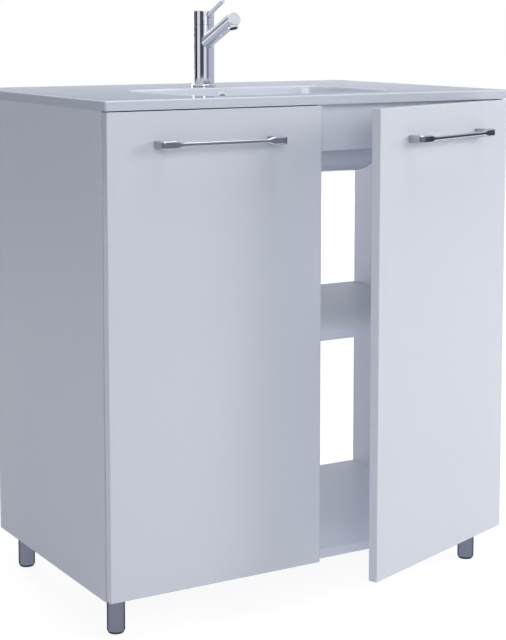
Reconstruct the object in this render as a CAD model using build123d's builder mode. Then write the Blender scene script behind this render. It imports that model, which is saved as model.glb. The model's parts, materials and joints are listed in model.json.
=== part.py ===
from build123d import *
import os
from math import cos, radians, sin, tan

# Sink base cabinet: a coated-board carcass on four metal legs, with two overlay doors on concealed
# hinges, a cast sink top with a round-cornered bowl, a push-plug waste and a pin-lever mixer tap.
# Millimetres and degrees. +X runs to the right, +Y to the wall, +Z up. The floor is Z = 0, and the
# origin stands in the middle of the whole object's plan, with the right door ajar as it is stored.

# --- Driving dimensions ---

# Carcass boards
cabinet_width = 800.0
side_height = 790.0
board = 16.0
rail_height = 80.0
shelf_rise = 378.0              # from the floor panel's top to the shelf's top
shelf_setback = 24.0            # the shelf's front edge lies behind the carcass front
shelf_play = 1.0                # gap between the shelf and each side
board_edge_round = 0.8

# Joints between boards
dowel_radius = 4.0
dowel_length = 30.0
dowel_in_side = 10.0
dowel_inset = 90.0              # from the carcass front and back, in the floor panel
rail_dowel_spread = 44.0        # between the two dowels of a rail's end
cam_radius = 7.5
cam_thickness = 12.0
cam_distance = 34.0             # from a board's end to its cam lock
cam_inset = 140.0               # from the carcass front and back, in the floor panel
cam_bolt_radius = 3.2
cam_bolt_in_side = 10.0
cam_bore_clearance = 0.6
fit_clearance = 0.05            # round a dowel, a cam, a pin or a screw in its hole
shelf_pin_radius = 2.5
shelf_pin_length = 17.0
shelf_pin_in_side = 8.0
shelf_pin_collar = 0.8
shelf_pin_inset = 60.0          # from the shelf's front and back edges
wall_hole_radius = 3.0
wall_hole_spacing = 600.0

# Legs
leg_height = 70.0
leg_radius = 15.0
leg_wall = 1.4
glide_height = 4.5
glide_plug_height = 9.0
glide_radius = 13.6
plate_size = 54.0
plate_thickness = 2.5
plate_corner = 8.0
plate_screw_spacing = 36.0
plate_boss_height = 9.0
leg_inset_side = 38.0           # from the cabinet's side to the leg's axis
leg_inset_front = 40.0
leg_inset_back = 31.0
wood_screw_radius = 1.9
wood_screw_length = 12.0
wood_screw_head_radius = 3.6
wood_screw_head_height = 1.8

# Doors
door_thickness = 16.0
door_gap = 3.0                  # between the carcass front and the door's back
door_side_reveal = 1.5
door_middle_gap = 3.0
door_top_gap = 2.0
door_bottom_gap = 2.0
door_edge_round = 1.0
ajar_angle = 20.2               # how far the right door stands open in the stored pose

# Concealed hinges. The linkage turns the door about an axis that lies ahead of the door's front.
hinge_end_distance = 100.0      # from the door's top and bottom edges to the hinge
axis_from_edge = 10.0
axis_ahead = 4.0
cup_radius = 17.4
cup_hole_radius = 17.5
cup_depth = 11.5
cup_hole_depth = 12.0
cup_wall = 1.0
cup_edge_distance = 5.0         # door material left between the cup hole and the door's edge
cup_flange = 1.0
cup_flange_width = 26.0
cup_flange_length = 60.0
cup_screw_spacing = 46.0
cup_screw_offset = 6.0
arm_width = 16.0
arm_length = 58.0
arm_height = 12.0               # from the mounting plate to the arm's back
arm_wall = 1.6
arm_nose_ahead = 1.5            # the arm's nose stands this far ahead of the carcass front
arm_corner = 4.0
arm_screw_radius = 3.0
arm_screw_height = 1.2
arm_screw_shaft_radius = 2.0
arm_screw_spacing = 12.0
arm_screw_depth = 7.0
hinge_plate_thickness = 2.0
hinge_plate_length = 46.0
hinge_plate_width = 20.0
hinge_plate_inset = 37.0        # from the carcass front to the plate's screws
hinge_rib_width = 9.0
hinge_rib_clearance = 0.3
plate_hole_spacing = 32.0
bumper_radius = 5.0
bumper_clearance = 0.3
bumper_inset_side = 12.0
bumper_inset_end = 8.0
top_bumper_inset = 50.0

# Bow handles
handle_length = 234.0
handle_reach = 29.0             # from the door to the bar's front
handle_foot_height = 13.5
handle_foot_width = 25.0
handle_bar_height = 7.5
handle_bar_thickness = 6.5
handle_taper_length = 16.0
handle_bend_radius = 9.0
handle_inner_radius = 12.0
handle_edge_round = 2.3
handle_drop = 53.0              # from the door's top edge to the handle's middle
handle_screw_radius = 2.0
handle_screw_depth = 10.0
handle_screw_head_radius = 4.0
handle_screw_head_height = 2.2

# Sink top
top_thickness = 16.0
top_front_overhang = 17.0
top_back_overhang = 88.0
top_edge_round = 2.5
top_corner = 4.0
bowl_length = 430.0
bowl_width = 280.0
bowl_front = 45.0               # from the carcass front to the bowl's front rim
bowl_corner = 70.0
bowl_depth = 136.0              # from the top's surface to the bowl's floor
bowl_wall = 7.0
bowl_taper = 12.0
bowl_floor_round = 38.0
bowl_rim_round = 5.0
overflow_drop = 20.0
overflow_ring_radius = 13.0
overflow_hole_radius = 8.0
overflow_ring_thickness = 1.6
duct_width = 40.0               # outside, the overflow duct on the bowl's rear wall
duct_gap = 8.0
duct_wall = 5.0
waste_boss_radius = 36.0

# Waste
waste_hole_radius = 23.0
waste_flange_radius = 32.0
waste_flange_thickness = 2.4
waste_tube_radius = 20.0
waste_thread_radius = 22.0      # the wider upper stretch that the nut runs on
waste_thread_length = 22.0
waste_bore_radius = 17.5
waste_length = 82.0             # below the bowl's floor
waste_collar_radius = 22.6
waste_nut_radius = 31.0
waste_nut_height = 9.0
waste_seal_radius = 30.0
waste_seal_height = 3.0
plug_radius = 29.0
plug_thickness = 5.0
plug_stem_radius = 4.0
plug_stem_length = 46.0
plug_travel = 8.0
plug_gap = 0.3
waste_bridge_height = 4.0
waste_bridge_drop = 28.0
waste_bridge_width = 13.0
waste_slot_width = 14.0
waste_slot_height = 6.0

# Tap
tap_behind_bowl = 67.0          # from the bowl's rear rim to the tap's axis
tap_to_back = 56.0              # from the tap's axis to the carcass's back
tap_body_radius = 20.0
tap_body_wall = 4.0
tap_seam_height = 115.5         # from the top's surface to the seam under the cap
tap_seam = 0.4
tap_cap_height = 26.5
tap_cap_wall = 3.0
tap_base_radius = 23.0
tap_base_height = 4.0
tap_base_round = 1.5
tap_edge_round = 1.0
spout_radius = 13.0
spout_wall = 3.5
spout_rise_angle = 23.3
spout_reach = 116.0             # from the tap's axis to the middle of the spout's end
spout_axis_height = 77.6        # where the spout's axis meets the tap's axis
spout_end_wall = 4.0
nozzle_radius = 9.0
nozzle_offset = 10.0            # from the spout's end to the nozzle's axis
nozzle_drop = 16.0              # from the spout's axis to the nozzle's mouth
aerator_radius = 7.6
aerator_height = 6.0
aerator_recess = 0.8
lever_radius = 4.0
lever_reach = 75.0              # from the tap's axis to the lever's end
lever_rise_angle = 25.6
lever_axis_height = 123.5       # where the lever's line meets the tap's axis
lever_pivot_forward = 14.0      # from the tap's axis to the lever pin
lever_tail = 4.0
lever_lift = 10.0
lever_clearance = 0.5
lever_pin_radius = 1.25
lever_pin_length = 22.0
cartridge_depth = 12.0
cartridge_stem_radius = 5.0
cartridge_stem_height = 5.0
cartridge_neck_height = 4.0
shank_radius = 15.0
shank_bore_radius = 10.0
shank_length = 62.0             # below the top's surface
tap_hole_clearance = 2.0
tap_washer_radius = 26.0
tap_washer_height = 2.0
tap_nut_radius = 24.0
tap_nut_height = 10.0
tap_seal_height = 1.0

# --- Places worked out from the dimensions ---

# The carcass is as deep as the bowl, the tap and the room behind the tap need.
carcass_depth = bowl_front + bowl_width + tap_behind_bowl + tap_to_back
half_width = cabinet_width / 2
inner_half = half_width - board
floor_z = leg_height
carcass_top = leg_height + side_height
top_z = carcass_top + top_thickness
floor_top = floor_z + board
shelf_top = floor_top + shelf_rise
shelf_under = shelf_top - board

door_width = (cabinet_width - 2 * door_side_reveal - door_middle_gap) / 2
door_height = side_height - door_top_gap - door_bottom_gap
door_bottom = floor_z + door_bottom_gap
door_top = door_bottom + door_height
door_outer_x = half_width - door_side_reveal
door_middle_x = door_outer_x - door_width / 2
handle_z = door_top - handle_drop
hinge_heights = [door_bottom + hinge_end_distance, door_top - hinge_end_distance]

# The object reaches from the ajar door's free edge to the top's back edge, and the origin lies midway.
# The edge's foremost point is its rounding, swung about the hinge axis.
rounding_out = door_width - axis_from_edge - door_edge_round
rounding_ahead = -axis_ahead - door_edge_round
swung_ahead = rounding_out * sin(radians(ajar_angle)) + rounding_ahead * cos(radians(ajar_angle))
front_reach = door_gap + door_thickness + axis_ahead + swung_ahead + door_edge_round
back_reach = carcass_depth + top_back_overhang
front_y = (front_reach - back_reach) / 2
back_y = front_y + carcass_depth
door_back_y = front_y - door_gap
door_front_y = door_back_y - door_thickness

axis_x = door_outer_x - axis_from_edge
axis_y = door_front_y - axis_ahead
cup_x = door_outer_x - cup_edge_distance - cup_hole_radius

bowl_middle_y = front_y + bowl_front + bowl_width / 2
bowl_floor_z = top_z - bowl_depth
tap_y = back_y - tap_to_back
spout_rise = tan(radians(spout_rise_angle))
lever_rise = tan(radians(lever_rise_angle))

os.makedirs("parts", exist_ok=True)


def write(shape, name):
    """Labels a finished piece and writes its file."""
    shape.label = name
    export_step(shape, f"parts/{name}.step")


def ajar(shape, hand):
    """Swings a piece of the right door to the stored pose. The left door is stored closed."""
    if hand < 0:
        return shape
    return shape.rotate(Axis((axis_x, axis_y, 0), (0, 0, 1)), ajar_angle)


def box_between(low, high):
    """Gives the centre and the size of the box between two opposite corners."""
    centre = [(a + b) / 2 for a, b in zip(low, high)]
    size = [b - a for a, b in zip(low, high)]
    return centre, size


def bore(plane, points, radius, depth):
    """Drills round holes into the part being built, along the plane's normal."""
    with BuildSketch(plane) as holes:
        with Locations(*points):
            Circle(radius)
    extrude(holes.sketch, amount=depth, mode=Mode.SUBTRACT)


# --- Where the board joints lie ---

floor_joint_z = floor_z + board / 2
rail_joint_z = carcass_top - rail_height / 2
front_rail_y = front_y + board / 2
rear_rail_y = back_y - board / 2
dowel_points = [
    (front_y + dowel_inset, floor_joint_z),
    (back_y - dowel_inset, floor_joint_z),
    (front_rail_y, rail_joint_z - rail_dowel_spread / 2),
    (front_rail_y, rail_joint_z + rail_dowel_spread / 2),
    (rear_rail_y, rail_joint_z - rail_dowel_spread / 2),
    (rear_rail_y, rail_joint_z + rail_dowel_spread / 2),
]
floor_cam_points = [(front_y + cam_inset, floor_joint_z), (back_y - cam_inset, floor_joint_z)]
front_cam_point = (front_rail_y, rail_joint_z)
rear_cam_point = (rear_rail_y, rail_joint_z)
cam_points = floor_cam_points + [front_cam_point, rear_cam_point]
pin_z = shelf_under - shelf_pin_radius
shelf_front = front_y + shelf_setback
pin_points = [(shelf_front + shelf_pin_inset, pin_z), (back_y - shelf_pin_inset, pin_z)]
plate_hole_points = [
    (front_y + hinge_plate_inset, z + step)
    for z in hinge_heights
    for step in (-plate_hole_spacing / 2, plate_hole_spacing / 2)
]
arm_screw_points = [
    (front_y + hinge_plate_inset + step, z)
    for z in hinge_heights
    for step in (-arm_screw_spacing / 2, arm_screw_spacing / 2)
]
leg_places = {
    "front_left": (-half_width + leg_inset_side, front_y + leg_inset_front),
    "front_right": (half_width - leg_inset_side, front_y + leg_inset_front),
    "rear_left": (-half_width + leg_inset_side, back_y - leg_inset_back),
    "rear_right": (half_width - leg_inset_side, back_y - leg_inset_back),
}
leg_screw_points = [
    (x + dx, y + dy)
    for x, y in leg_places.values()
    for dx in (-plate_screw_spacing / 2, plate_screw_spacing / 2)
    for dy in (-plate_screw_spacing / 2, plate_screw_spacing / 2)
]


# --- Carcass ---

def side_panel(hand):
    """A side board, drilled on its inner face for dowels, cam bolts, shelf pins and hinge plates."""
    inner = Plane.YZ.offset(hand * inner_half)
    with BuildPart() as side:
        with BuildSketch(inner):
            with Locations((front_y + carcass_depth / 2, floor_z + side_height / 2)):
                Rectangle(carcass_depth, side_height)
        extrude(amount=hand * board)
        fillet(side.edges().filter_by(Axis.Z), board_edge_round)
        bore(inner, dowel_points, dowel_radius + fit_clearance, hand * (dowel_in_side + fit_clearance))
        bore(inner, cam_points, cam_bolt_radius + fit_clearance, hand * (cam_bolt_in_side + fit_clearance))
        bore(inner, pin_points, shelf_pin_radius + fit_clearance, hand * (shelf_pin_in_side + fit_clearance))
        plate_screw_depth = wood_screw_length - hinge_plate_thickness
        bore(inner, plate_hole_points, wood_screw_radius + fit_clearance, hand * plate_screw_depth)
    return side


def across_board(name, y_low, y_high, z_low, z_high, joints, cams, cam_face):
    """A board between the sides, with its end bores and the round pockets of its cam locks."""
    with BuildPart() as panel:
        centre, size = box_between((-inner_half, y_low, z_low), (inner_half, y_high, z_high))
        with Locations(tuple(centre)):
            Box(*size)
        fillet(panel.edges().filter_by(Axis.X), board_edge_round)
        for hand in (-1, 1):
            end = Plane.YZ.offset(hand * inner_half)
            dowel_in_board = dowel_length - dowel_in_side + fit_clearance
            bore(end, joints, dowel_radius + fit_clearance, -hand * dowel_in_board)
            bore(end, cams, cam_bolt_radius + cam_bore_clearance, -hand * cam_distance)
            x = hand * (inner_half - cam_distance)
            pocket_depth = cam_thickness + fit_clearance
            if cam_face == "under":
                pockets = [(x, y) for y, z in cams]
                bore(Plane.XY.offset(z_low), pockets, cam_radius + fit_clearance, pocket_depth)
            else:
                pockets = [(x, z) for y, z in cams]
                inside = y_high if cam_face == "behind" else y_low
                inward = 1 if cam_face == "behind" else -1
                bore(Plane.XZ.offset(-inside), pockets, cam_radius + fit_clearance, inward * pocket_depth)
        if name == "floor_panel":
            screw_hole = wood_screw_radius + fit_clearance
            bore(Plane.XY.offset(z_low), leg_screw_points, screw_hole, wood_screw_length)
        if name == "rear_rail":
            holes = [(-wall_hole_spacing / 2, rail_joint_z), (wall_hole_spacing / 2, rail_joint_z)]
            bore(Plane.XZ.offset(-y_high), holes, wall_hole_radius, board)
    return panel


side_left = side_panel(-1)
write(side_left.part, "side_left")
side_right = side_panel(1)
write(side_right.part, "side_right")

floor_panel = across_board(
    "floor_panel", front_y, back_y, floor_z, floor_top, dowel_points[:2], floor_cam_points, "under"
)
write(floor_panel.part, "floor_panel")
front_rail = across_board(
    "front_rail", front_y, front_y + board, carcass_top - rail_height, carcass_top,
    dowel_points[2:4], [front_cam_point], "behind",
)
write(front_rail.part, "front_rail")
rear_rail = across_board(
    "rear_rail", back_y - board, back_y, carcass_top - rail_height, carcass_top,
    dowel_points[4:6], [rear_cam_point], "ahead",
)
write(rear_rail.part, "rear_rail")

with BuildPart() as shelf:
    half_shelf = inner_half - shelf_play
    centre, size = box_between((-half_shelf, shelf_front, shelf_under), (half_shelf, back_y, shelf_top))
    with Locations(tuple(centre)):
        Box(*size)
    fillet(shelf.edges().filter_by(Axis.X), board_edge_round)
write(shelf.part, "shelf")

with BuildPart() as shelf_pins:
    for hand in (-1, 1):
        with BuildSketch(Plane.YZ.offset(hand * (inner_half + shelf_pin_in_side))):
            with Locations(*pin_points):
                Circle(shelf_pin_radius)
        extrude(amount=-hand * shelf_pin_length)
        with BuildSketch(Plane.YZ.offset(hand * inner_half)):
            with Locations(*pin_points):
                Circle(shelf_pin_radius + shelf_pin_collar)
        extrude(amount=-hand * shelf_pin_collar)
write(shelf_pins.part, "shelf_pins")

with BuildPart() as carcass_dowels:
    for hand in (-1, 1):
        with BuildSketch(Plane.YZ.offset(hand * (inner_half + dowel_in_side))):
            with Locations(*dowel_points):
                Circle(dowel_radius)
        extrude(amount=-hand * dowel_length)
write(carcass_dowels.part, "carcass_dowels")

with BuildPart() as cam_bolts:
    for hand in (-1, 1):
        with BuildSketch(Plane.YZ.offset(hand * (inner_half + cam_bolt_in_side))):
            with Locations(*cam_points):
                Circle(cam_bolt_radius)
        extrude(amount=-hand * (cam_bolt_in_side + cam_distance))
write(cam_bolts.part, "cam_bolts")

with BuildPart() as cam_locks:
    for hand in (-1, 1):
        x = hand * (inner_half - cam_distance)
        with BuildSketch(Plane.XY.offset(floor_z)):
            with Locations(*[(x, y) for y, z in floor_cam_points]):
                Circle(cam_radius)
        extrude(amount=cam_thickness)
        for y, inward in ((front_y + board, 1), (back_y - board, -1)):
            with BuildSketch(Plane.XZ.offset(-y)):
                with Locations((x, rail_joint_z)):
                    Circle(cam_radius)
            extrude(amount=inward * cam_thickness)
        # The bolt enters each lock through a round slot that ends at the lock's middle.
        end = Plane.YZ.offset(hand * inner_half)
        bore(end, cam_points, cam_bolt_radius + fit_clearance, -hand * (cam_distance + fit_clearance))
write(cam_locks.part, "cam_locks")


# --- Legs ---

with BuildPart() as leg_plates:
    for x, y in leg_places.values():
        with BuildSketch(Plane.XY.offset(floor_z - plate_thickness)):
            with Locations((x, y)):
                RectangleRounded(plate_size, plate_size, plate_corner)
                with GridLocations(plate_screw_spacing, plate_screw_spacing, 2, 2):
                    Circle(wood_screw_radius + fit_clearance, mode=Mode.SUBTRACT)
        extrude(amount=plate_thickness)
        with BuildSketch(Plane.XY.offset(floor_z - plate_thickness)):
            with Locations((x, y)):
                Circle(leg_radius - leg_wall - fit_clearance)
        extrude(amount=-plate_boss_height)
write(leg_plates.part, "leg_plates")

for place, (x, y) in leg_places.items():
    with BuildPart() as leg_tube:
        with BuildSketch(Plane.XY.offset(glide_height)):
            with Locations((x, y)):
                Circle(leg_radius)
                Circle(leg_radius - leg_wall, mode=Mode.SUBTRACT)
        extrude(amount=floor_z - plate_thickness - glide_height)
    write(leg_tube.part, f"leg_tube_{place}")

with BuildPart() as leg_glides:
    for x, y in leg_places.values():
        with BuildSketch():
            with Locations((x, y)):
                Circle(glide_radius)
        extrude(amount=glide_height)
        with BuildSketch(Plane.XY.offset(glide_height)):
            with Locations((x, y)):
                Circle(leg_radius - leg_wall - fit_clearance)
        extrude(amount=glide_plug_height)
    chamfer(leg_glides.edges().group_by(Axis.Z)[0], glide_height / 4)
write(leg_glides.part, "leg_glides")

with BuildPart() as leg_screws:
    head_z = floor_z - plate_thickness
    with BuildSketch(Plane.XY.offset(head_z)):
        with Locations(*leg_screw_points):
            Circle(wood_screw_head_radius)
    extrude(amount=-wood_screw_head_height)
    with BuildSketch(Plane.XY.offset(head_z)):
        with Locations(*leg_screw_points):
            Circle(wood_screw_radius)
    extrude(amount=wood_screw_length)
write(leg_screws.part, "leg_screws")


# --- Doors ---

def screw_line(hand):
    """The two handle screws' places on a door, as X and Z."""
    half_span = handle_length / 2 - handle_foot_width / 2
    return [(hand * door_middle_x - half_span, handle_z), (hand * door_middle_x + half_span, handle_z)]


def door(hand):
    """An overlay door with softened edges, two cup pockets and the bores of the handle screws."""
    with BuildPart() as leaf:
        with BuildSketch(Plane.XZ.offset(-door_back_y)):
            with Locations((hand * door_middle_x, door_bottom + door_height / 2)):
                Rectangle(door_width, door_height)
        extrude(amount=door_thickness)
        fillet(leaf.edges().group_by(Axis.Y)[0], door_edge_round)
        cups = [(hand * cup_x, z) for z in hinge_heights]
        bore(Plane.XZ.offset(-door_back_y), cups, cup_hole_radius, cup_hole_depth)
        screw_hole = handle_screw_radius + fit_clearance
        bore(Plane.XZ.offset(-door_back_y), screw_line(hand), screw_hole, door_thickness)
        cup_screw_hole = wood_screw_radius + fit_clearance
        bore(Plane.XZ.offset(-door_back_y), cup_screw_points(hand), cup_screw_hole, cup_hole_depth)
    return leaf


def cup_screw_points(hand):
    """The places of the cup flanges' screws on a door's back, as X and Z."""
    x = hand * (cup_x - cup_radius - cup_screw_offset + cup_flange_width / 2)
    return [(x, z + step) for z in hinge_heights for step in (-cup_screw_spacing / 2, cup_screw_spacing / 2)]


def hinge_cups(hand):
    """Two pressed cups with their winged flanges on the door's back."""
    back = Plane.XZ.offset(-door_back_y)
    wing_x = cup_screw_points(hand)[0][0]
    with BuildPart() as cups:
        for z in hinge_heights:
            with BuildSketch(back):
                with Locations((hand * cup_x, z)):
                    Circle(cup_radius + cup_wall)
                with Locations((wing_x, z)):
                    RectangleRounded(cup_flange_width / 2, cup_flange_length, cup_flange_width / 5)
            extrude(amount=-cup_flange)
            with BuildSketch(back):
                with Locations((hand * cup_x, z)):
                    Circle(cup_radius)
            extrude(amount=cup_depth)
            with BuildSketch(Plane.XZ.offset(-door_back_y - cup_flange)):
                with Locations((hand * cup_x, z)):
                    Circle(cup_radius - cup_wall)
            extrude(amount=cup_depth + cup_flange - cup_wall, mode=Mode.SUBTRACT)
        screw_hole = wood_screw_radius + fit_clearance
        bore(Plane.XZ.offset(-door_back_y - cup_flange), cup_screw_points(hand), screw_hole, cup_flange)
    return cups


def cup_screws(hand):
    """The screws that hold the cup flanges to the door."""
    with BuildPart() as screws:
        with BuildSketch(Plane.XZ.offset(-door_back_y)):
            with Locations(*cup_screw_points(hand)):
                Circle(wood_screw_radius)
        extrude(amount=cup_hole_depth - fit_clearance)
        with BuildSketch(Plane.XZ.offset(-door_back_y - cup_flange)):
            with Locations(*cup_screw_points(hand)):
                Circle(wood_screw_radius)
        extrude(amount=cup_flange)
        with BuildSketch(Plane.XZ.offset(-door_back_y - cup_flange)):
            with Locations(*cup_screw_points(hand)):
                Circle(wood_screw_head_radius)
        extrude(amount=-wood_screw_head_height / 3)
    return screws


def bumpers(hand):
    """Two soft stops on the door's back, by its free edge, that meet the front rail and the floor."""
    x = hand * (door_outer_x - door_width + bumper_inset_side)
    with BuildPart() as stops:
        with BuildSketch(Plane.XZ.offset(-door_back_y)):
            with Locations((x, door_bottom + bumper_inset_end), (x, door_top - top_bumper_inset)):
                Circle(bumper_radius)
        extrude(amount=-(door_gap - bumper_clearance))
    return stops


def handle(hand):
    """A bow handle: a plan outline of bar and feet, cut by a front outline that swells at the feet."""
    x = hand * door_middle_x
    half = handle_length / 2
    with BuildPart() as bow:
        with BuildSketch(Plane.XY.offset(handle_z - handle_foot_height / 2)):
            with Locations((x, door_front_y - handle_reach / 2)):
                Rectangle(handle_length, handle_reach)
            inner_length = handle_length - 2 * handle_foot_width
            inner_depth = handle_reach - handle_bar_thickness
            with Locations((x, door_front_y - inner_depth / 2)):
                Rectangle(inner_length, inner_depth, mode=Mode.SUBTRACT)
        extrude(amount=handle_foot_height)
        outer = bow.edges().filter_by(Axis.Z).group_by(Axis.Y)[0]
        fillet(outer, handle_bend_radius)
        inner = bow.edges().filter_by(Axis.Z).filter_by_position(
            Axis.Y, door_front_y - inner_depth - 1, door_front_y - inner_depth + 1
        )
        fillet(inner, handle_inner_radius)
        with BuildSketch(Plane.XZ.offset(-door_front_y)) as front:
            with BuildLine():
                rise = handle_foot_height / 2
                waist = handle_bar_height / 2
                flat = half - handle_foot_width
                bend = flat - handle_taper_length
                foot_top = (x + half, handle_z + rise)
                Polyline((x - half, handle_z), (x - half, handle_z + rise), (x - flat, handle_z + rise))
                Spline(
                    (x - flat, handle_z + rise), (x - bend, handle_z + waist),
                    tangents=((1, 0), (1, 0)),
                )
                Line((x - bend, handle_z + waist), (x + bend, handle_z + waist))
                Spline(
                    (x + bend, handle_z + waist), (x + flat, handle_z + rise),
                    tangents=((1, 0), (1, 0)),
                )
                Polyline((x + flat, handle_z + rise), foot_top, (x + half, handle_z))
                mirror(about=Plane.XZ.offset(-handle_z))
            make_face()
        extrude(amount=handle_reach, mode=Mode.INTERSECT)
        front_edges = bow.edges().group_by(Axis.Y)[0]
        fillet(front_edges, handle_edge_round)
        screw_hole = handle_screw_radius + fit_clearance
        bore(Plane.XZ.offset(-door_front_y), screw_line(hand), screw_hole, handle_screw_depth)
    return bow


def handle_screws(hand):
    """Two pan-head screws from the door's back into the handle's feet."""
    back = Plane.XZ.offset(-door_back_y)
    with BuildPart() as screws:
        with BuildSketch(back):
            with Locations(*screw_line(hand)):
                Circle(handle_screw_head_radius)
        extrude(amount=-handle_screw_head_height)
        with BuildSketch(back):
            with Locations(*screw_line(hand)):
                Circle(handle_screw_radius)
        extrude(amount=door_thickness + handle_screw_depth - 2 * handle_screw_radius)
    return screws


def hinge_plates(hand):
    """Two mounting plates on the side's inner face, each with the rib that carries the arm."""
    face = Plane.YZ.offset(hand * inner_half)
    y = front_y + hinge_plate_inset
    rib_height = arm_height - arm_wall - hinge_rib_clearance
    with BuildPart() as plates:
        for z in hinge_heights:
            with BuildSketch(face):
                with Locations((y, z)):
                    RectangleRounded(hinge_plate_width, hinge_plate_length, hinge_plate_width / 4)
            extrude(amount=-hand * hinge_plate_thickness)
            with BuildSketch(Plane.YZ.offset(hand * (inner_half - hinge_plate_thickness))):
                with Locations((y, z)):
                    Rectangle(hinge_plate_width, hinge_rib_width)
            extrude(amount=-hand * rib_height)
        bore(face, plate_hole_points, wood_screw_radius + fit_clearance, -hand * hinge_plate_thickness)
        rib_face = Plane.YZ.offset(hand * (inner_half - hinge_plate_thickness - rib_height))
        bore(rib_face, arm_screw_points, arm_screw_shaft_radius + fit_clearance, hand * arm_screw_depth)
    return plates


def hinge_arms(hand):
    """Two channel arms over their plates' ribs, with rounded noses just ahead of the carcass."""
    y_low = front_y - arm_nose_ahead
    y_high = y_low + arm_length
    x_low = inner_half - hinge_plate_thickness - arm_height
    x_high = inner_half - hinge_plate_thickness
    with BuildPart() as arms:
        for z in hinge_heights:
            low = (min(hand * x_low, hand * x_high), y_low, z - arm_width / 2)
            high = (max(hand * x_low, hand * x_high), y_high, z + arm_width / 2)
            centre, size = box_between(low, high)
            with Locations(tuple(centre)):
                Box(*size)
        corners = arms.edges().filter_by(Axis.Z).sort_by(SortBy.DISTANCE, reverse=True)
        inner_corners = [e for e in corners if abs(abs(e.center().X) - x_low) < arm_wall / 2]
        fillet(inner_corners, arm_corner)
        for z in hinge_heights:
            inside_half = arm_width / 2 - arm_wall
            low = (min(hand * (x_low + arm_wall), hand * x_high), y_low + arm_wall, z - inside_half)
            high = (max(hand * (x_low + arm_wall), hand * x_high), y_high, z + inside_half)
            centre, size = box_between(low, high)
            with Locations(tuple(centre)):
                Box(*size, mode=Mode.SUBTRACT)
        arm_back = Plane.YZ.offset(hand * x_low)
        bore(arm_back, arm_screw_points, arm_screw_shaft_radius + fit_clearance, hand * arm_wall)
    return arms


for hand, end in ((-1, "left"), (1, "right")):
    write(ajar(door(hand).part, hand), f"door_{end}")
    write(ajar(handle(hand).part, hand), f"handle_{end}")
    write(ajar(handle_screws(hand).part, hand), f"handle_screws_{end}")
    write(ajar(hinge_cups(hand).part, hand), f"hinge_cups_{end}")
    write(ajar(cup_screws(hand).part, hand), f"cup_screws_{end}")
    write(ajar(bumpers(hand).part, hand), f"door_bumpers_{end}")
    write(hinge_plates(hand).part, f"hinge_plates_{end}")
    write(hinge_arms(hand).part, f"hinge_arms_{end}")

with BuildPart() as hinge_plate_screws:
    for hand in (-1, 1):
        face = Plane.YZ.offset(hand * (inner_half - hinge_plate_thickness))
        with BuildSketch(face):
            with Locations(*plate_hole_points):
                Circle(wood_screw_radius)
        extrude(amount=hand * (wood_screw_length - fit_clearance))
        with BuildSketch(face):
            with Locations(*plate_hole_points):
                Circle(wood_screw_head_radius)
        extrude(amount=-hand * wood_screw_head_height)
write(hinge_plate_screws.part, "hinge_plate_screws")

with BuildPart() as hinge_arm_screws:
    for hand in (-1, 1):
        arm_back = Plane.YZ.offset(hand * (inner_half - hinge_plate_thickness - arm_height))
        with BuildSketch(arm_back):
            with Locations(*arm_screw_points):
                Circle(arm_screw_radius)
        extrude(amount=-hand * arm_screw_height)
        with BuildSketch(arm_back):
            with Locations(*arm_screw_points):
                Circle(arm_screw_shaft_radius)
        extrude(amount=hand * arm_screw_depth)
write(hinge_arm_screws.part, "hinge_arm_screws")


# --- Sink top ---

rim_plane = Plane((0, bowl_middle_y, top_z), x_dir=(1, 0, 0), z_dir=(0, 0, 1))
under_plane = Plane((0, bowl_middle_y, carcass_top), x_dir=(1, 0, 0), z_dir=(0, 0, 1))
back_wall_lean = overflow_drop * tan(radians(bowl_taper))
overflow_centre = (0, bowl_middle_y + bowl_width / 2 - back_wall_lean, top_z - overflow_drop)
overflow_plane = Plane(
    overflow_centre,
    x_dir=(1, 0, 0),
    z_dir=(0, -cos(radians(bowl_taper)), sin(radians(bowl_taper))),
)

with BuildPart() as bowl_inside:
    with BuildSketch(rim_plane):
        RectangleRounded(bowl_length, bowl_width, bowl_corner)
    extrude(amount=-bowl_depth, taper=bowl_taper)
    fillet(bowl_inside.edges().group_by(Axis.Z)[0], bowl_floor_round)

boss_height = duct_gap + duct_wall
lean = tan(radians(bowl_taper))


def duct_outline(thickness, high, end_y):
    """The side outline of a duct that runs down the bowl's rear wall and under its floor."""
    under = bowl_floor_z - bowl_wall
    wall_foot = bowl_middle_y + bowl_width / 2 + bowl_wall - (top_z - under) * lean
    wall_high = wall_foot + (high - under) * lean
    outward = thickness / cos(radians(bowl_taper))
    outer_foot = wall_foot + outward - thickness * lean
    return [
        (wall_high - bowl_wall / 2, high),
        (wall_foot - bowl_wall / 2, under),
        (end_y, under),
        (end_y, under - thickness),
        (outer_foot, under - thickness),
        (wall_high + outward, high),
    ]


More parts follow.
